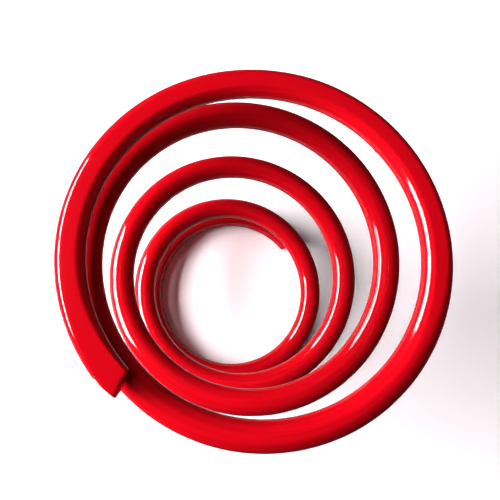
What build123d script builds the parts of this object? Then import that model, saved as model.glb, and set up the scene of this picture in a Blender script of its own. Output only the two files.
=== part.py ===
from build123d import *
import math
import os

# A conical compression spring, wound from one round wire. Each end coil is wound level,
# its tip bears on the coil beside it, and its face is ground flat, so that the spring
# stands on its small end. The tips are sheared, so each one ends at an angle.
# Z is the coil axis, up towards the large end, and Z = 0 is the small end's seat.
# Sizes are in millimetres. A coil's radius is the mean one, from the axis to the
# centre of the wire, and turns are counted up along the wire from the small tip.

WIRE_DIAMETER = 8.0
GRINDING_DEPTH = 0.5  # what grinding takes off a level end coil

SMALL_COIL_RADIUS = 32.9
MIDDLE_COIL_RADIUS = 40.3
LARGE_COIL_RADIUS = 46.9
LARGE_TUCK_RADIUS = 45.0  # the large end coil draws in a little behind its tip
LARGE_TIP_RADIUS = 49.0  # and its tip springs out again

TOTAL_TURNS = 4.52
SMALL_COIL_TURNS = 0.88  # before the cone starts to widen
MIDDLE_COIL_TURN = 2.46
LARGE_COIL_BEFORE_TIP = 0.827  # turns from there to the large tip
LARGE_TUCK_BEFORE_TIP = 0.395
LARGE_TIP_TURNS = 0.06  # over which the tip keeps its radius

LEVEL_TURNS = 0.60  # at each end, wound with no pitch
RAMP_TURNS = 0.43  # over which the pitch grows from nothing to the active one
ACTIVE_PITCH = 37.5  # rise in one turn between the ends
TIP_LIFT = 1.3  # that each tip stands proud of its level coil, before grinding
TIP_LIFT_TURNS = 0.11  # behind the tip, in which it springs up by that much
SMALL_TIP_AZIMUTH = 37.0  # degrees from +X, anticlockwise from above

SHEAR_ANGLE = 20.0  # degrees off square at a tip, with the outer side left longer
SHEAR_DRAW = 1.1  # how far the shear drew the outer corner in
SHEAR_DRAW_LENGTH = 6.0  # back from the corner, along the wire
SHEAR_ALLOWANCE = 0.01  # turns that the wire runs on past each tip before it is sheared

ARCS_PER_TURN = 16
DIRECTION_STEP = 0.0001  # turns, short enough to give the wire's direction

LEVEL_CENTRE_HEIGHT = WIRE_DIAMETER / 2 - GRINDING_DEPTH  # of a level coil over its seat

RADIUS_STATIONS = [
    (0.0, SMALL_COIL_RADIUS),
    (SMALL_COIL_TURNS, SMALL_COIL_RADIUS),
    (MIDDLE_COIL_TURN, MIDDLE_COIL_RADIUS),
    (TOTAL_TURNS - LARGE_COIL_BEFORE_TIP, LARGE_COIL_RADIUS),
    (TOTAL_TURNS - LARGE_TUCK_BEFORE_TIP, LARGE_TUCK_RADIUS),
    (TOTAL_TURNS - LARGE_TIP_TURNS, LARGE_TIP_RADIUS),
    (TOTAL_TURNS, LARGE_TIP_RADIUS),
]


def coil_radius(turn):
    """Mean radius at a turn: level at each station, with a smooth step between them."""
    for (start, first), (end, second) in zip(RADIUS_STATIONS, RADIUS_STATIONS[1:]):
        if turn <= end:
            share = max(0.0, turn - start) / (end - start)
            return first + (second - first) * share**2 * (3 - 2 * share)
    return LARGE_TIP_RADIUS


def opened_turns(turns):
    """Turns at full pitch that give the same rise as a ramp and what follows it."""
    if turns <= 0:
        return 0.0
    if turns < RAMP_TURNS:
        return turns**2 / (2 * RAMP_TURNS)
    return turns - RAMP_TURNS / 2


def tip_lift(turns):
    """How far the wire stands proud of its level end coil, by turns from the tip."""
    return TIP_LIFT * max(0.0, 1 - turns / TIP_LIFT_TURNS) ** 2


def wire_rise(turn):
    """Height of the wire's centre over the small level coil's: level, active, level."""
    opening = opened_turns(turn - LEVEL_TURNS)
    closing = opened_turns(turn - (TOTAL_TURNS - LEVEL_TURNS - RAMP_TURNS))
    return ACTIVE_PITCH * (opening - closing) + tip_lift(TOTAL_TURNS - turn) - tip_lift(turn)


def wire_centre(turn):
    """Point on the centre line of the wire, a right-hand helix."""
    azimuth = math.radians(SMALL_TIP_AZIMUTH + 360 * turn)
    radius = coil_radius(turn)
    height = wire_rise(turn) + LEVEL_CENTRE_HEIGHT
    return Vector(radius * math.cos(azimuth), radius * math.sin(azimuth), height)


def wire_direction(turn):
    """Unit vector along the wire, up from the small end."""
    return (wire_centre(turn + DIRECTION_STEP) - wire_centre(turn)).normalized()


def centre_line():
    """Arcs from tip to tip, each tangent to the one before it, with the shear's allowance."""
    first = -SHEAR_ALLOWANCE
    last = TOTAL_TURNS + SHEAR_ALLOWANCE
    count = math.ceil((last - first) * ARCS_PER_TURN)
    points = [wire_centre(first + (last - first) * index / count) for index in range(count + 1)]
    direction = wire_direction(first)
    arcs = []
    for start, end in zip(points, points[1:]):
        arc = TangentArc(start, end, tangent=direction)
        direction = arc % 1
        arcs.append(arc)
    return arcs


def run_of_wire(arcs):
    """Round wire along some of the arcs."""
    path = Wire(arcs)
    section = Plane(origin=path @ 0, z_dir=path % 0) * Circle(WIRE_DIAMETER / 2)
    return sweep(section, path)


def sheared(run, turn, sign):
    """A run of wire that ends at a tip, sheared there. The sign is +1 at the upper end.

    Both planes stand upright. The shear crosses the wire's centre at the tip, and the
    other one joins the outer corner that it draws in to the wire's side further back.
    """
    tip = wire_centre(turn)
    direction = wire_direction(turn) * sign
    onward = Vector(direction.X, direction.Y, 0).normalized()
    outward = Vector(tip.X, tip.Y, 0).normalized()
    outward = (outward - onward * outward.dot(onward)).normalized()
    angle = math.radians(SHEAR_ANGLE)
    shear = Plane(origin=tip, z_dir=onward * math.cos(angle) - outward * math.sin(angle))
    width = WIRE_DIAMETER / 2 - SHEAR_DRAW
    corner = tip + onward * (width * math.tan(angle)) + outward * width
    slope = math.atan2(SHEAR_DRAW, SHEAR_DRAW_LENGTH)
    side = Plane(origin=corner, z_dir=onward * math.sin(slope) + outward * math.cos(slope))
    for plane in (shear, side):
        run = split(run, bisect_by=plane, keep=Keep.BOTTOM)
    return run


def coiled_wire():
    """The wire as it leaves the coiler, sheared at both tips."""
    arcs = centre_line()
    small_tip = sheared(run_of_wire(arcs[:1]), 0.0, -1)
    large_tip = sheared(run_of_wire(arcs[-1:]), TOTAL_TURNS, 1)
    return run_of_wire(arcs[1:-1]) + small_tip + large_tip


def free_height():
    """Height of the large end's seat over the small end's."""
    active_turns = TOTAL_TURNS - 2 * LEVEL_TURNS - RAMP_TURNS
    return ACTIVE_PITCH * active_turns + 2 * LEVEL_CENTRE_HEIGHT


def ground(wire):
    """The coiled wire between the two planes that its ends are ground to."""
    widest = max(radius for turn, radius in RADIUS_STATIONS) + WIRE_DIAMETER
    return wire & extrude(Circle(widest), free_height())


spring_coil = ground(coiled_wire())
spring_coil.label = "spring_coil"

os.makedirs("parts", exist_ok=True)
export_step(spring_coil, "parts/spring_coil.step")
print("free height", round(free_height(), 2), "mm")
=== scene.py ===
"""Conical compression spring: the coiled wire, its gloss red powder coat, and a small studio.

The wire follows the same formulas as the solid that it stands for. Lengths are in millimetres
in the classes, and become metres where a mesh, a node, a lamp or the camera is made.
"""

import logging
import math
from dataclasses import dataclass
from enum import Enum
from typing import Any

import bpy
import numpy as np
from mathutils import Matrix, Vector


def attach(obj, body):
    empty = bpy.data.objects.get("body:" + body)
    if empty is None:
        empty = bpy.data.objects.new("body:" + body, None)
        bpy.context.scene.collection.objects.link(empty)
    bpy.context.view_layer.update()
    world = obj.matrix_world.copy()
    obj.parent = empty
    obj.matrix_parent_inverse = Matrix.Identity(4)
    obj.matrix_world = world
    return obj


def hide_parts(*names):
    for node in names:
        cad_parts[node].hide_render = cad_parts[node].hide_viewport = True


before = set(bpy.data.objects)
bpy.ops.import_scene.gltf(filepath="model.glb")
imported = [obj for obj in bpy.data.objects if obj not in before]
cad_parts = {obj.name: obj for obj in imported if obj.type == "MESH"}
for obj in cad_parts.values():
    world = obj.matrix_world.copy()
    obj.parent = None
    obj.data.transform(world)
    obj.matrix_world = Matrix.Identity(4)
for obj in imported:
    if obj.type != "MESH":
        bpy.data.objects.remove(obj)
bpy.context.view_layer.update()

log = logging.getLogger("spring")
logging.basicConfig(level=logging.INFO, format="%(name)s: %(message)s")

METRE = 1000.0  # millimetres
NUDGE = 1e-4  # turns, short enough to give the wire's direction
WHITE = (1.0, 1.0, 1.0, 1.0)


def linear(hex_colour: str) -> tuple[float, float, float, float]:
    """An sRGB hex colour as linear red, green, blue and alpha.

    Args:
        hex_colour: Six hex digits after a hash sign.

    Returns:
        Each channel c as c / 12.92 when dark, and ((c + 0.055) / 1.055) ** 2.4 otherwise.
    """
    channels = [int(hex_colour[i : i + 2], 16) / 255 for i in (1, 3, 5)]
    red, green, blue = (c / 12.92 if c <= 0.04045 else ((c + 0.055) / 1.055) ** 2.4 for c in channels)
    return red, green, blue, 1.0


def add_node(
    tree: bpy.types.NodeTree, kind: str, settings: dict[str | int, Any], **links: bpy.types.NodeSocket
) -> bpy.types.Node:
    """Adds a node with its settings and links.

    Args:
        tree: The node tree that gets the node.
        kind: The node's type name in Blender, without "ShaderNode".
        settings: Properties of the node by name, or values of its inputs by name or index.
        links: Output sockets by the name of the input that they feed, with spaces as underscores
            and a number as in_0, in_1 and so on.

    Returns:
        The new node.
    """
    node = tree.nodes.new("ShaderNode" + kind)
    for name, value in settings.items():
        if isinstance(name, str) and name in node.bl_rna.properties:
            setattr(node, name, value)
        else:
            node.inputs[name].default_value = value
    for name, socket in links.items():
        key = int(name[3:]) if name.startswith("in_") else name.replace("_", " ")
        tree.links.new(socket, node.inputs[key])
    return node


def combined(
    tree: bpy.types.NodeTree,
    operation: str,
    first: bpy.types.NodeSocket,
    second: bpy.types.NodeSocket | float,
) -> bpy.types.NodeSocket:
    """The sum, product or the like of a socket and another socket or a number."""
    if isinstance(second, bpy.types.NodeSocket):
        return add_node(tree, "Math", {"operation": operation}, in_0=first, in_1=second).outputs[0]
    return add_node(tree, "Math", {"operation": operation, 1: second}, in_0=first).outputs[0]


def new_tree(name: str) -> tuple[bpy.types.Material, bpy.types.NodeTree]:
    """An empty node material and its tree."""
    material = bpy.data.materials.new(name)
    material.use_nodes = True
    material.node_tree.nodes.clear()
    return material, material.node_tree


@dataclass(frozen=True)
class CoilLaw:
    """The coiled wire's centre line, with the same sizes as the solid.

    Turns are counted up along the wire from the small tip. The radius is level at each
    station, with a smooth step between them. The pitch is nothing over the level end coils,
    grows over a ramp, and is constant between the ramps.
    """

    wire_diameter: float = 8.0
    grinding_depth: float = 0.5  # off a level end coil
    small_coil_radius: float = 32.9
    middle_coil_radius: float = 40.3
    large_coil_radius: float = 46.9
    large_tuck_radius: float = 45.0  # the large end coil draws in a little behind its tip
    large_tip_radius: float = 49.0  # and springs out again at it
    total_turns: float = 4.52
    small_coil_turns: float = 0.88  # before the cone starts to widen
    middle_coil_turn: float = 2.46
    large_coil_before_tip: float = 0.827  # turns from there to the large tip
    large_tuck_before_tip: float = 0.395
    large_tip_turns: float = 0.06  # over which the tip keeps its radius
    level_turns: float = 0.60  # at each end, wound with no pitch
    ramp_turns: float = 0.43  # over which the pitch grows to the active one
    active_pitch: float = 37.5  # rise in one turn between the ends
    tip_lift: float = 1.3  # that each tip stands proud of its level coil, before grinding
    tip_lift_turns: float = 0.11
    small_tip_azimuth: float = 37.0  # degrees from +X, anticlockwise from above
    shear_angle: float = 20.0  # degrees off square at a tip, with the outer side left longer
    shear_draw: float = 1.1  # how far the shear drew the outer corner in
    shear_draw_length: float = 6.0  # back from the corner, along the wire

    def radius(self, turns: np.ndarray) -> np.ndarray:
        """Mean coil radius: the first one, plus each change times a smooth step, 3 s^2 - 2 s^3."""
        ends = [
            (0.0, self.small_coil_radius),
            (self.small_coil_turns, self.small_coil_radius),
            (self.middle_coil_turn, self.middle_coil_radius),
            (self.total_turns - self.large_coil_before_tip, self.large_coil_radius),
            (self.total_turns - self.large_tuck_before_tip, self.large_tuck_radius),
            (self.total_turns - self.large_tip_turns, self.large_tip_radius),
        ]
        radius = np.full_like(turns, ends[0][1])
        for (start, first), (end, second) in zip(ends, ends[1:]):
            share = np.clip((turns - start) / (end - start), 0, 1)
            radius = radius + (second - first) * share**2 * (3 - 2 * share)
        return radius

    def opened(self, turns: np.ndarray) -> np.ndarray:
        """Turns at full pitch that give the rise of a ramp, x^2 / 2R, and of what follows it."""
        ramped = np.clip(turns, 0, self.ramp_turns)
        return ramped**2 / (2 * self.ramp_turns) + np.maximum(turns - self.ramp_turns, 0)

    def lift(self, turns: np.ndarray) -> np.ndarray:
        """How far a tip stands proud of its level coil: a parabola that ends behind the tip."""
        return self.tip_lift * np.maximum(1 - turns / self.tip_lift_turns, 0) ** 2

    def rise(self, turns: np.ndarray) -> np.ndarray:
        """Height of the wire's centre over the small level coil's."""
        opening = self.opened(turns - self.level_turns)
        closing = self.opened(turns - (self.total_turns - self.level_turns - self.ramp_turns))
        tips = self.lift(self.total_turns - turns) - self.lift(turns)
        return self.active_pitch * (opening - closing) + tips

    def centre(self, turns: np.ndarray) -> np.ndarray:
        """Points on the centre line: r cos a, r sin a, and the rise over the ground seat."""
        azimuth = np.radians(self.small_tip_azimuth + 360 * turns)
        radius = self.radius(turns)
        height = self.rise(turns) + self.wire_diameter / 2 - self.grinding_depth
        return np.stack([radius * np.cos(azimuth), radius * np.sin(azimuth), height], -1)

    def free_height(self) -> float:
        """Height of the large end's ground face over the small end's."""
        active_turns = self.total_turns - 2 * self.level_turns - self.ramp_turns
        return self.active_pitch * active_turns + self.wire_diameter - 2 * self.grinding_depth


class Tip(Enum):
    """An end of the wire, with the way that it points along it."""

    SMALL = -1.0
    LARGE = 1.0


@dataclass(frozen=True)
class Mark:
    """A small flaw, placed on the wire's surface."""

    along: float  # arc length from the small tip
    around: float  # degrees from the top of the section, outwards
    size: float  # radius
    rise: float  # height of its crown, below zero for a pit
    stretch: float = 1.0  # how many times as far it reaches around the wire, for a dent

    def spot(self, wire_radius: float) -> tuple[float, float, float]:
        """Its place on the wire's UV map, in metres."""
        return self.along / METRE, math.radians(self.around) * wire_radius / METRE, 0.0


# Dents change the wire's shape, and specks are too small for that, so they are bumps of the coat.
DENTS = (
    Mark(1128.1, 74.0, 0.75, -1.7, 3.0),  # nick in the outer side, just behind the large tip
    Mark(981.9, 247.0, 0.9, 0.22),  # run of coat on the inner side of the large end coil
)
SPECKS = (
    Mark(103.9, 324.0, 0.55, 0.25),  # blister and pit on the inner side of the small end coil
    Mark(104.9, 331.0, 0.40, -0.12),
    Mark(1095.3, 12.0, 0.30, 0.05),  # three grains together on the large ground face
    Mark(1093.7, 4.0, 0.25, 0.04),
    Mark(1096.6, 1.0, 0.22, 0.04),
    Mark(1036.0, 24.0, 0.30, 0.05),  # and one further back
)


@dataclass(frozen=True)
class GlossPowderCoat:
    """Polyester powder coat, sprayed dry and baked: a thick, even, glossy skin.

    To the eye it is one clean, deep red with sharp, thin highlights. It flows out as it bakes,
    so it has a faint orange peel and rounds the ground edges. The lines of the drawn wire and
    of grinding half show through it, and it traps a few grains of dust.
    """

    colour: str = "#CE0616"
    deep_colour: str = "#BC0513"  # along the drawing lines, where the skin is thicker
    ior: float = 1.5
    roughness: float = 0.06
    roughness_spread: float = 0.04
    haze_spacing: float = 14.0  # between duller patches
    haze_levels: tuple[float, float] = (0.3, 0.7)  # of the noise, for the least and the most haze
    peel_spacing: float = 2.2  # between two crests of the orange peel
    peel_height: float = 0.004
    streak_spacing: float = 1.1  # between drawing lines of the wire, which the coat half fills
    streak_length: float = 45.0
    streak_height: float = 0.0022
    streak_levels: tuple[float, float] = (0.35, 0.7)  # of the noise, for the plain and the deep colour
    grind_spacing: float = 0.45  # between grinding lines, drawn coarser than the real ones
    grind_length: float = 60.0
    grind_height: float = 0.0022
    dust_spacing: float = 9.0  # between grains under the skin
    dust_radius: float = 0.28
    dust_height: float = 0.035

    def noise(
        self,
        tree: bpy.types.NodeTree,
        place: bpy.types.NodeSocket,
        scale: float | tuple[float, float, float],
        detail: float,
    ) -> bpy.types.NodeSocket:
        """Noise with its scale in crests a metre, one for all axes or one for each."""
        if isinstance(scale, tuple):
            place = add_node(tree, "Mapping", {"Scale": scale}, Vector=place).outputs[0]
            scale = 1.0
        return add_node(tree, "TexNoise", {"Scale": scale, "Detail": detail}, Vector=place).outputs["Fac"]

    def dome(
        self, tree: bpy.types.NodeTree, away: bpy.types.NodeSocket, radius: float, rise: float
    ) -> bpy.types.NodeSocket:
        """Height that falls smoothly from the rise to nothing as the way from a centre grows."""
        settings = {"interpolation_type": "SMOOTHSTEP", "From Min": radius, "From Max": 0.0, "To Max": rise}
        return add_node(tree, "MapRange", settings, Value=away).outputs[0]

    def relief(
        self,
        tree: bpy.types.NodeTree,
        heights: list[bpy.types.NodeSocket],
        wire: bpy.types.NodeSocket,
        marks: tuple[Mark, ...],
    ) -> bpy.types.NodeSocket:
        """The bumped normal of the skin.

        Args:
            tree: The material's node tree.
            heights: Heights of the patterns, in metres, which are added up.
            wire: The wire's UV map.
            marks: Flaws that are added to them.

        Returns:
            The normal.
        """
        height = heights[0]
        for more in heights[1:]:
            height = combined(tree, "ADD", height, more)
        for mark in marks:
            centre = mark.spot(CoilLaw.wire_diameter / 2)
            away = add_node(tree, "VectorMath", {"operation": "DISTANCE", 1: centre}, in_0=wire)
            bump = self.dome(tree, away.outputs["Value"], mark.size / METRE, mark.rise / METRE)
            height = combined(tree, "ADD", height, bump)
        return add_node(tree, "Bump", {"Strength": 1.0, "Distance": 1.0}, Height=height).outputs[0]

    def material(self, marks: tuple[Mark, ...]) -> bpy.types.Material:
        """The coat as a node material.

        Args:
            marks: Flaws, each a round bump or pit in the wire's own UV map.

        Returns:
            The material, with its patterns on Object coordinates and the UV map "wire".
        """
        material, tree = new_tree("gloss_red_powder_coat")
        place = add_node(tree, "TexCoord", {}).outputs["Object"]
        wire = add_node(tree, "UVMap", {"uv_map": "wire"}).outputs["UV"]
        ground = add_node(tree, "Attribute", {"attribute_name": "ground"}).outputs["Fac"]

        # Drawing lines: long, faint streaks along the wire, coloured only where it is still round.
        lengthwise = (METRE / self.streak_length, METRE / self.streak_spacing, 1.0)
        streaks = self.noise(tree, wire, lengthwise, detail=3.0)
        plain, deep = self.streak_levels
        depth = add_node(tree, "MapRange", {"From Min": plain, "From Max": deep}, Value=streaks)
        off_ground = add_node(tree, "MapRange", {"To Min": 1.0, "To Max": 0.0}, Value=ground)
        tone = add_node(
            tree,
            "Mix",
            {"data_type": "RGBA", 6: linear(self.colour), 7: linear(self.deep_colour)},
            in_0=combined(tree, "MULTIPLY", depth.outputs[0], off_ground.outputs[0]),
        )

        # Orange peel all over, grinding lines along X on the ground faces, and grains of dust.
        peel = self.noise(tree, place, METRE / self.peel_spacing, detail=1.0)
        across = (METRE / self.grind_length, METRE / self.grind_spacing, METRE / self.grind_length)
        lines = combined(tree, "MULTIPLY", self.noise(tree, place, across, detail=2.0), ground)
        grains = add_node(tree, "TexVoronoi", {"Scale": METRE / self.dust_spacing}, Vector=place)
        reach = self.dust_radius / self.dust_spacing  # the texture's distance is a share of the spacing
        heights = [
            combined(tree, "MULTIPLY", peel, self.peel_height / METRE),
            combined(tree, "MULTIPLY", lines, self.grind_height / METRE),
            self.dome(tree, grains.outputs["Distance"], reach, self.dust_height / METRE),
            combined(tree, "MULTIPLY", streaks, self.streak_height / METRE),
        ]

        # Haze: wide patches in which the highlights are a little softer.
        haze = self.noise(tree, place, METRE / self.haze_spacing, detail=4.0)
        least, most = self.haze_levels
        rough = add_node(
            tree,
            "MapRange",
            {
                "From Min": least,
                "From Max": most,
                "To Min": self.roughness,
                "To Max": self.roughness + self.roughness_spread,
            },
            Value=haze,
        )
        skin = add_node(
            tree,
            "BsdfPrincipled",
            {"IOR": self.ior},
            Base_Color=tone.outputs[2],
            Roughness=rough.outputs[0],
            Normal=self.relief(tree, heights, wire, marks),
        )
        add_node(tree, "OutputMaterial", {}, Surface=skin.outputs[0])
        return material


@dataclass(frozen=True)
class SpringWire:
    """The whole spring as one surface: a round section carried along the coil, then ground.

    The section's corners, where the round wire meets a ground face, are rounded by the coat.
    """

    law: CoilLaw = CoilLaw()
    length_samples: int = 40001  # turns at which the arc length is added up
    step: float = 1.0  # along the wire, between two rings of the mesh
    corner: float = 0.3  # height over which a ground face blends into the round wire
    draw_blend: float = 0.9  # the same where the shear drew the outer corner in
    ground_fade: float = 0.12  # depth of the cut at which a point is all ground face
    draw_reach: float = 16.0  # from a tip, within which the shear drew the wire in
    lean_length: float = 8.0  # from a tip, over which the rings turn square to the wire
    tip_rounding: float = 0.45
    tip_rings: int = 5
    dents: tuple[Mark, ...] = DENTS
    dent_step: float = 0.2  # between rings at a dent
    least_corner: float = 18.0  # degrees from the top that the fine part of a ring keeps to
    corner_reach: float = 6.5  # degrees that the fine part reaches to each side
    ring_counts: tuple[int, ...] = (4, 5, 15, 5, 4)  # of a half ring: flat, corner, side, corner, flat

    def along(self) -> tuple[np.ndarray, np.ndarray, np.ndarray]:
        """Turns, arc length and shrinkage of every ring, tip to tip.

        Rings are a step apart, and finer at a dent. Near a tip they follow a quarter circle: the
        way in from the tip is r (1 - sin a), and the section shrinks by r (1 - cos a).

        Returns:
            Turns, arc length in millimetres, and how much smaller the section's radius is.
        """
        fine = np.linspace(0, self.law.total_turns, self.length_samples)
        runs = np.linalg.norm(np.diff(self.law.centre(fine), axis=0), axis=1)
        length = np.concatenate([[0], np.cumsum(runs)])
        quarter = np.linspace(math.pi / 2, 0, self.tip_rings)
        way_in = self.tip_rounding * (1 - np.sin(quarter))
        shrink = self.tip_rounding * (1 - np.cos(quarter))
        count = round((length[-1] - 2 * self.tip_rounding) / self.step)
        body = np.linspace(self.tip_rounding, length[-1] - self.tip_rounding, count + 1)[1:-1]
        for dent in self.dents:
            close = np.arange(dent.along - dent.size, dent.along + dent.size, self.dent_step)
            body = np.concatenate([body[np.abs(body - dent.along) > dent.size + self.dent_step], close])
        body = np.sort(body)
        places = np.concatenate([way_in, body, length[-1] - way_in[::-1]])
        shrinks = np.concatenate([shrink, np.zeros(len(body)), shrink[::-1]])
        return np.interp(places, length, fine), places, shrinks

    def half_angles(self, top: np.ndarray, bottom: np.ndarray) -> np.ndarray:
        """Section angles from the top outwards to the bottom, finer at the two corners.

        Args:
            top: Height of the upper ground face over each ring's centre, as a share of the radius.
            bottom: Depth of the lower one under it, likewise.

        Returns:
            One row of radians for each ring: straight shares between six knots, which are the
            top, both sides of each corner, and the bottom.
        """
        least, reach = math.radians(self.least_corner), math.radians(self.corner_reach)
        upper = np.maximum(np.arccos(np.clip(top, -1, 1)), least)
        lower = math.pi - np.maximum(np.arccos(np.clip(bottom, -1, 1)), least)
        zero = np.zeros_like(upper)
        knots = [zero, upper - reach, upper + reach, lower - reach, lower + reach, zero + math.pi]
        parts = []
        for count, start, end in zip(self.ring_counts, knots, knots[1:]):
            shares = np.arange(count) / count
            parts.append(start[:, None] * (1 - shares) + end[:, None] * shares)
        return np.concatenate(parts + [knots[-1][:, None]], axis=1)

    def blend_down(self, height: np.ndarray, plane: np.ndarray, reach: float) -> np.ndarray:
        """The lower of a height and a plane, less h^2 k / 4, where h falls from 1 to 0 over k."""
        near = np.maximum(reach - np.abs(height - plane), 0) / reach
        return np.minimum(height, plane) - near**2 * reach / 4

    def dented(self, places: np.ndarray, angles: np.ndarray) -> np.ndarray:
        """Height of the dents over the round wire: each rises by (1 - d^2 / size^2)^2."""
        height = np.zeros_like(angles)
        for dent in self.dents:
            across = (angles - math.radians(dent.around)) * self.law.wire_diameter / 2 / dent.stretch
            share = (across**2 + (places[:, None] - dent.along) ** 2) / dent.size**2
            height += dent.rise * np.maximum(1 - share, 0) ** 2
        return height

    def lean(self, places: np.ndarray, sideways: np.ndarray) -> np.ndarray:
        """How far each point runs on past its ring, so that a tip ends at the shear's angle.

        Args:
            places: Arc length of each ring.
            sideways: How far each point of a ring is out from the wire's centre.

        Returns:
            The way out times the tangent of the angle, times a share that falls from 1 at the
            tip to 0 at a lean length behind it, 1 - 3 s^2 + 2 s^3.
        """
        longer = sideways * math.tan(math.radians(self.law.shear_angle))
        total = np.zeros_like(sideways)
        for tip in Tip:
            away = places[-1] - places if tip is Tip.LARGE else places
            share = np.clip(away / self.lean_length, 0, 1)
            total += tip.value * longer * (1 - share**2 * (3 - 2 * share))[:, None]
        return total

    def draw_in(self, points: np.ndarray, tip: Tip, inset: np.ndarray) -> np.ndarray:
        """The points by one tip, with the outer corner drawn in to the plane of the shear.

        Args:
            points: Rings by that tip, in millimetres.
            tip: Which tip.
            inset: How far inside that plane each ring stays.

        Returns:
            Each point less the part of its height over the plane that the blend takes off.
        """
        law = self.law
        level = np.array([1, 1, 0])  # leaves out the height
        turn = law.total_turns if tip is Tip.LARGE else 0.0
        near = law.centre(np.array([turn - NUDGE, turn, turn + NUDGE]))
        onward = (near[2] - near[0]) * tip.value * level
        onward /= np.linalg.norm(onward)
        outward = near[1] * level
        outward -= onward * (outward @ onward)
        outward /= np.linalg.norm(outward)
        width = law.wire_diameter / 2 - law.shear_draw
        corner = near[1] + onward * width * math.tan(math.radians(law.shear_angle)) + outward * width
        slope = math.atan2(law.shear_draw, law.shear_draw_length)
        normal = onward * math.sin(slope) + outward * math.cos(slope)
        height = (points - corner) @ normal + inset[:, None]
        return points + (self.blend_down(height, np.zeros(1), self.draw_blend) - height)[..., None] * normal

    def surface(self) -> tuple[np.ndarray, np.ndarray, np.ndarray, np.ndarray]:
        """Every ring of the wire.

        A point is the centre, plus the radius times the sine of its angle outwards and the
        cosine upwards, both square to the wire. It is then pressed down to the upper ground
        face, up to the lower one, and in to the plane of the shear.

        Returns:
            Points (rings, around, 3) in millimetres, arc length of each ring, angle of each
            point, and how much each point belongs to a ground face.
        """
        turns, places, shrink = self.along()
        speed = np.linalg.norm(self.law.centre(turns + NUDGE) - self.law.centre(turns - NUDGE), axis=-1)
        radius = self.law.wire_diameter / 2 - shrink
        top = self.law.free_height() - shrink
        middle = self.law.centre(turns)[:, 2]
        half = self.half_angles((top - middle) / radius, (middle - shrink) / radius)
        angles = np.concatenate([half, 2 * math.pi - half[:, -2:0:-1]], axis=1)

        reach = radius[:, None] + self.dented(places, angles)
        sideways = reach * np.sin(angles)
        each = turns[:, None] + self.lean(places, sideways) / (speed / (2 * NUDGE))[:, None]
        forward = self.law.centre(each + NUDGE) - self.law.centre(each - NUDGE)
        forward /= np.linalg.norm(forward, axis=-1, keepdims=True)
        upward = np.array([0.0, 0.0, 1.0]) - forward[..., 2:] * forward
        upward /= np.linalg.norm(upward, axis=-1, keepdims=True)
        outward = np.cross(forward, upward)
        points = (
            self.law.centre(each)
            + sideways[..., None] * outward
            + (reach * np.cos(angles))[..., None] * upward
        )
        height = points[..., 2].copy()
        points[..., 2] = self.blend_down(height, top[:, None], self.corner)
        points[..., 2] = -self.blend_down(-points[..., 2], -shrink[:, None], self.corner)
        for tip in Tip:
            away = places[-1] - places if tip is Tip.LARGE else places
            near = away < self.draw_reach
            points[near] = self.draw_in(points[near], tip, shrink[near])
        cut = np.maximum(height - top[:, None], shrink[:, None] - height)
        return points, places, angles, np.clip(cut / self.ground_fade, 0, 1)

    def faces(self, rings: int, around: int) -> tuple[np.ndarray, np.ndarray]:
        """Quads between the rings, and a fan to a pole at each end.

        Args:
            rings: How many rings there are.
            around: Points in each of them.

        Returns:
            The vertex of every face corner, and how many corners each face has.
        """
        ring = np.arange(rings - 1)[:, None] * around
        here = np.arange(around)
        after = (here + 1) % around
        quads = np.stack([ring + here, ring + around + here, ring + around + after, ring + after], -1)
        tail = (rings - 1) * around
        first_pole, last_pole = rings * around, rings * around + 1
        first_fan = np.stack([np.full(around, first_pole), here, after], -1)
        last_fan = np.stack([np.full(around, last_pole), tail + after, tail + here], -1)
        corners = np.concatenate([part.reshape(-1) for part in (quads, first_fan, last_fan)])
        return corners, np.concatenate([np.full(quads.size // 4, 4), np.full(2 * around, 3)])

    def wire_map(self, places: np.ndarray, angles: np.ndarray) -> np.ndarray:
        """Arc length and way round at the same face corners, in metres."""
        way_round = np.concatenate([angles, np.full((len(angles), 1), 2 * math.pi)], axis=1)
        way_round *= self.law.wire_diameter / 2 / METRE
        length = np.repeat(places[:, None], way_round.shape[1], axis=1) / METRE
        grid = np.stack([length, way_round], -1)
        quads = np.stack([grid[:-1, :-1], grid[1:, :-1], grid[1:, 1:], grid[:-1, 1:]], 2)
        first_fan = np.stack([grid[0, :-1], grid[0, :-1], grid[0, 1:]], 1)
        last_fan = np.stack([grid[-1, :-1], grid[-1, 1:], grid[-1, :-1]], 1)
        return np.concatenate([part.reshape(-1, 2) for part in (quads, first_fan, last_fan)])

    def build(self, marks: tuple[Mark, ...], coat: GlossPowderCoat) -> bpy.types.Object:
        """The spring as a closed mesh in its coat.

        Args:
            marks: Flaws of the coat.
            coat: Its finish.

        Returns:
            The object, at the origin, with UV map "wire" (arc length and way round, in metres)
            and the attribute "ground".
        """
        points, places, angles, ground = self.surface()
        rings, around = points.shape[:2]
        poles = [points[0].mean(axis=0), points[-1].mean(axis=0)]
        vertices = np.concatenate([points.reshape(-1, 3), poles]) / METRE
        corners, sizes = self.faces(rings, around)

        mesh = bpy.data.meshes.new("spring_wire")
        mesh.vertices.add(len(vertices))
        mesh.vertices.foreach_set("co", vertices.reshape(-1))
        mesh.loops.add(len(corners))
        mesh.loops.foreach_set("vertex_index", corners)
        mesh.polygons.add(len(sizes))
        mesh.polygons.foreach_set("loop_start", np.cumsum(sizes) - sizes)
        mesh.polygons.foreach_set("loop_total", sizes)
        mesh.update(calc_edges=True)
        mesh.uv_layers.new(name="wire").data.foreach_set("uv", self.wire_map(places, angles).reshape(-1))
        amount = mesh.attributes.new("ground", "FLOAT", "POINT")
        amount.data.foreach_set("value", np.append(ground, [0.0, 0.0]))
        mesh.polygons.foreach_set("use_smooth", np.ones(len(sizes), dtype=bool))
        mesh.validate()

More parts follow.
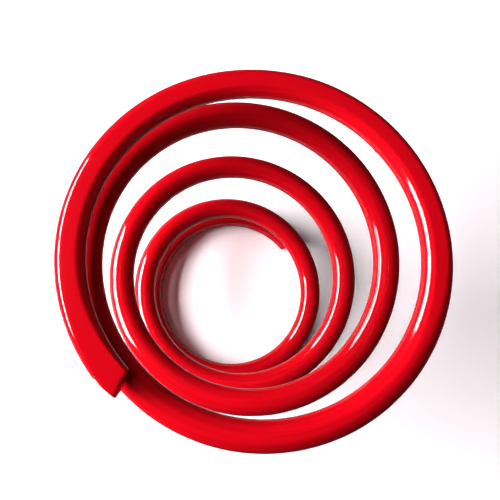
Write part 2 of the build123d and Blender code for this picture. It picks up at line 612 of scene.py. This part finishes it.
        spring = bpy.data.objects.new("spring_wire", mesh)
        bpy.context.scene.collection.objects.link(spring)
        mesh.materials.append(coat.material(marks))
        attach(spring, "root")
        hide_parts("spring_coil")
        log.info("spring_wire: %d rings of %d points, %d faces", rings, around, len(sizes))
        return spring


class SeenBy(Enum):
    """The rays that meet a lamp or a stage surface."""

    ALL = "all"
    GLOSS = "gloss"  # only what the coat reflects
    SOFT = "soft"  # only diffuse light, so that it makes no highlight


@dataclass(frozen=True)
class Pane:
    """A soft lamp: a lit rectangle that faces the spring."""

    name: str
    azimuth: float  # degrees from +X, anticlockwise from above
    elevation: float
    distance: float
    width: float
    height: float
    radiance: float
    seen_by: SeenBy

    def hang(self, target: Vector) -> bpy.types.Object:
        """Adds the lamp. Its power is its radiance times pi times its area.

        Args:
            target: The point that it faces, in metres.

        Returns:
            The lamp's object.
        """
        lamp = bpy.data.lights.new(self.name, "AREA")
        lamp.shape = "RECTANGLE"
        lamp.size, lamp.size_y = self.width / METRE, self.height / METRE
        lamp.energy = self.radiance * math.pi * lamp.size * lamp.size_y
        azimuth, elevation = math.radians(self.azimuth), math.radians(self.elevation)
        level = math.cos(elevation)
        towards = Vector((math.cos(azimuth) * level, math.sin(azimuth) * level, math.sin(elevation)))
        pane = bpy.data.objects.new(self.name, lamp)
        pane.matrix_world = Matrix.Translation(target + towards * self.distance / METRE) @ (
            towards.to_track_quat("Z", "Y").to_matrix().to_4x4()
        )
        pane.visible_camera = False
        pane.visible_glossy = self.seen_by is not SeenBy.SOFT
        pane.visible_diffuse = self.seen_by is not SeenBy.GLOSS
        bpy.context.scene.collection.objects.link(pane)
        return pane


@dataclass(frozen=True)
class Studio:
    """A white sheet in a dark room, lit through a low window at the left.

    A little sky comes in above the window, and the far wall throws back a weak fill. The
    window's highlights are lamps of their own, with the frame's dark bar between them.
    """

    floor_size: float = 6000.0
    sheet_centre: tuple[float, float] = (-80.0, 0.0)
    sheet_radius: float = 122.0  # past it the gloss reflects a ring of painted shade instead of the lit floor
    shadow_reach: tuple[float, float] = (220.0, 420.0)  # from the axis, where it turns plain white
    room_radius: float = 2400.0
    room_height: float = 2200.0
    room_sides: int = 96
    shade_height: float = 0.4  # of the ring of painted shade, over the sheet
    ceiling_hole: float = 1.0  # radius that the ceiling leaves open
    sheet_colour: str = "#FFF4F8"
    # painted shade: the glow of the dark ring that the gloss reflects past the sheet's edge
    painted_shade_colour: str = "#3A2C30"
    room_colour: str = "#181818"
    sheet_exposure: float = 1.35  # how much brighter the sheet is exposed than the spring
    gloss_exposure: float = 0.55  # the same for what the gloss reflects
    bounce: float = 0.045  # how pale the sheet is for the light that it throws back
    ambient: float = 0.012
    panes: tuple[Pane, ...] = (
        Pane("window_back_glint", 153.0, 14.0, 600.0, 277.0, 250.0, 42.0, SeenBy.GLOSS),
        Pane("window_front_glint", 182.0, 14.0, 600.0, 299.0, 250.0, 42.0, SeenBy.GLOSS),
        Pane("window_pane", 176.0, 16.0, 600.0, 520.0, 340.0, 21.0, SeenBy.SOFT),
        Pane("high_sky_pane", 165.0, 62.0, 700.0, 450.0, 350.0, 4.3, SeenBy.SOFT),
        Pane("far_wall_fill", 350.0, 6.0, 700.0, 900.0, 400.0, 0.3, SeenBy.SOFT),
    )

    def seen_directly(self, tree: bpy.types.NodeTree) -> bpy.types.NodeSocket:
        """1 for a ray from the camera, off a gloss or through glass, and 0 for soft light."""
        path = add_node(tree, "LightPath", {}).outputs
        sharp = combined(tree, "MAXIMUM", path["Is Camera Ray"], path["Is Glossy Ray"])
        return combined(tree, "MAXIMUM", sharp, path["Is Transmission Ray"])

    def sheet_material(self) -> bpy.types.Material:
        """White paper: a bright ground, on which the eye sees the spring's soft shadows.

        Its diffuse colour is scaled by an exposure for the eye, by a lower one for the gloss,
        and by the bounce for soft light. Far from the spring the eye sees plain white.
        """
        material, tree = new_tree("white_sheet")
        *paper, alpha = linear(self.sheet_colour)
        seen, reflected, thrown = (
            add_node(tree, "BsdfDiffuse", {"Color": (*(c * gain for c in paper), alpha)}).outputs[0]
            for gain in (self.sheet_exposure, self.gloss_exposure, self.bounce)
        )
        white = add_node(tree, "Emission", {"Color": WHITE, "Strength": 1.0})
        place = add_node(tree, "TexCoord", {}).outputs["Object"]
        away = add_node(tree, "VectorMath", {"operation": "LENGTH"}, in_0=place)
        near, far = self.shadow_reach
        beyond = add_node(
            tree,
            "MapRange",
            {"interpolation_type": "SMOOTHSTEP", "From Min": near / METRE, "From Max": far / METRE},
            Value=away.outputs["Value"],
        )
        backdrop = add_node(tree, "MixShader", {}, in_0=beyond.outputs[0], in_1=seen, in_2=white.outputs[0])
        to_eye = add_node(tree, "LightPath", {}).outputs["Is Camera Ray"]
        direct = add_node(tree, "MixShader", {}, in_0=to_eye, in_1=reflected, in_2=backdrop.outputs[0])
        sharp = self.seen_directly(tree)
        chosen = add_node(tree, "MixShader", {}, in_0=sharp, in_1=thrown, in_2=direct.outputs[0])
        add_node(tree, "OutputMaterial", {}, Surface=chosen.outputs[0])
        return material

    def glow_material(self, name: str, colour: str) -> bpy.types.Material:
        """An even glow, for what only the gloss shows."""
        material, tree = new_tree(name)
        glow = add_node(tree, "Emission", {"Color": linear(colour), "Strength": 1.0})
        add_node(tree, "OutputMaterial", {}, Surface=glow.outputs[0])
        return material

    def stage(
        self, name: str, mesh: bpy.types.Mesh, material: bpy.types.Material, seen_by: SeenBy
    ) -> None:
        """Adds a surface that isn't part of the spring."""
        surface = bpy.data.objects.new(name, mesh)
        mesh.materials.append(material)
        bpy.context.scene.collection.objects.link(surface)
        if seen_by is SeenBy.GLOSS:
            surface.visible_camera = surface.visible_diffuse = surface.visible_shadow = False
            surface.visible_transmission = surface.visible_volume_scatter = False

    def lay_floor(self) -> None:
        """The floor: one square in the plane of the spring's seat."""
        half = self.floor_size / 2 / METRE
        mesh = bpy.data.meshes.new("floor")
        corners = [(-half, -half, 0), (half, -half, 0), (half, half, 0), (-half, half, 0)]
        mesh.from_pydata(corners, [], [(0, 1, 2, 3)])
        self.stage("floor", mesh, self.sheet_material(), SeenBy.ALL)

    def ring(self, name: str, rows: list[tuple[tuple[float, float], float, float]], colour: str) -> None:
        """A turned surface that only the gloss shows, with vertices at x + r cos a, y + r sin a, z.

        Args:
            name: The surface's name.
            rows: Centre (x, y), radius r and height z of each row, in millimetres.
            colour: What it glows with.
        """
        sides = self.room_sides
        angle = np.arange(sides) * 2 * math.pi / sides
        points = np.concatenate(
            [
                np.stack([x + r * np.cos(angle), y + r * np.sin(angle), np.full(sides, z)], -1)
                for (x, y), r, z in rows
            ]
        )
        here, after = np.arange(sides), (np.arange(sides) + 1) % sides
        faces = np.concatenate(
            [
                np.stack([row + here, row + after, row + sides + after, row + sides + here], -1)
                for row in range(0, sides * (len(rows) - 1), sides)
            ]
        )
        mesh = bpy.data.meshes.new(name)
        mesh.from_pydata((points / METRE).tolist(), [], faces.tolist())
        self.stage(name, mesh, self.glow_material(name, colour), SeenBy.GLOSS)

    def close_room(self) -> None:
        """A ring of painted shade round the sheet, which only the gloss shows, and the dark walls and
        ceiling over it.
        """
        middle = (0.0, 0.0)
        inner_edge = (self.sheet_centre, self.sheet_radius, self.shade_height)
        foot = (middle, self.room_radius, self.shade_height)
        cornice = (middle, self.room_radius, self.room_height)
        # Painted shade: a dark glow that only the gloss sees past the sheet's edge, in place of the lit
        # floor
        self.ring("painted_shade_ring", [inner_edge, foot], self.painted_shade_colour)
        self.ring(
            "dark_room", [foot, cornice, (middle, self.ceiling_hole, self.room_height)], self.room_colour
        )

    def light_world(self) -> None:
        """A world that is white to the eye, and a faint even light for the rest.

        The coat reflects the dark room instead, which stands in front of it.
        """
        world = bpy.data.worlds.new("studio")
        bpy.context.scene.world = world
        world.use_nodes = True
        tree = world.node_tree
        tree.nodes.clear()
        white = add_node(tree, "Background", {"Color": WHITE, "Strength": 1.0})
        faint = add_node(tree, "Background", {"Color": WHITE, "Strength": self.ambient})
        sharp = self.seen_directly(tree)
        chosen = add_node(tree, "MixShader", {}, in_0=sharp, in_1=faint.outputs[0], in_2=white.outputs[0])
        add_node(tree, "OutputWorld", {}, Surface=chosen.outputs[0])

    def build(self, target: Vector) -> None:
        """Lays the floor, closes the room and lights it.

        Args:
            target: The point that the lamps face, in metres.
        """
        self.lay_floor()
        self.close_room()
        self.light_world()
        for pane in self.panes:
            pane.hang(target)
            log.info("%s: azimuth %.0f, elevation %.0f", pane.name, pane.azimuth, pane.elevation)


@dataclass(frozen=True)
class PhotoCamera:
    """The camera, at the photograph's place and angle over the spring's large end."""

    place: tuple[float, float, float] = (-20.5867, -30.4718, 273.7018)
    tilt_back: float = 15.0435  # degrees about X
    tilt_side: float = -4.2231  # then about the tilted Y
    focal_pixels: float = 640.0
    frame_pixels: float = 500.0
    axis_pixels: tuple[float, float] = (229.366, 196.161)  # where the lens axis meets the picture
    sensor: float = 36.0  # width
    nearest: float = 5.0  # that the lens still shows

    def build(self) -> bpy.types.Object:
        """The camera's object.

        Its lens is the sensor's width times focal over frame pixels, and its shift is the way
        from the lens axis to the middle of the picture, as a share of the frame.
        """
        data = bpy.data.cameras.new("photo_camera")
        data.sensor_width = self.sensor
        data.lens = self.sensor * self.focal_pixels / self.frame_pixels
        data.shift_x = 0.5 - self.axis_pixels[0] / self.frame_pixels
        data.shift_y = self.axis_pixels[1] / self.frame_pixels - 0.5
        data.clip_start = self.nearest / METRE
        camera = bpy.data.objects.new("photo_camera", data)
        back = Matrix.Rotation(math.radians(self.tilt_back), 4, "X")
        side = Matrix.Rotation(math.radians(self.tilt_side), 4, "Y")
        camera.matrix_world = Matrix.Translation(Vector(self.place) / METRE) @ back @ side
        bpy.context.scene.collection.objects.link(camera)
        bpy.context.scene.camera = camera
        return camera


def main() -> None:
    """Builds the spring, the studio and the camera, in that order."""
    wire = SpringWire()
    wire.build(SPECKS, GlossPowderCoat())
    Studio().build(Vector((0, 0, wire.law.free_height() / METRE)))
    PhotoCamera().build()
    bpy.context.scene.view_settings.view_transform = "Standard"


if __name__ == "__main__":
    main()
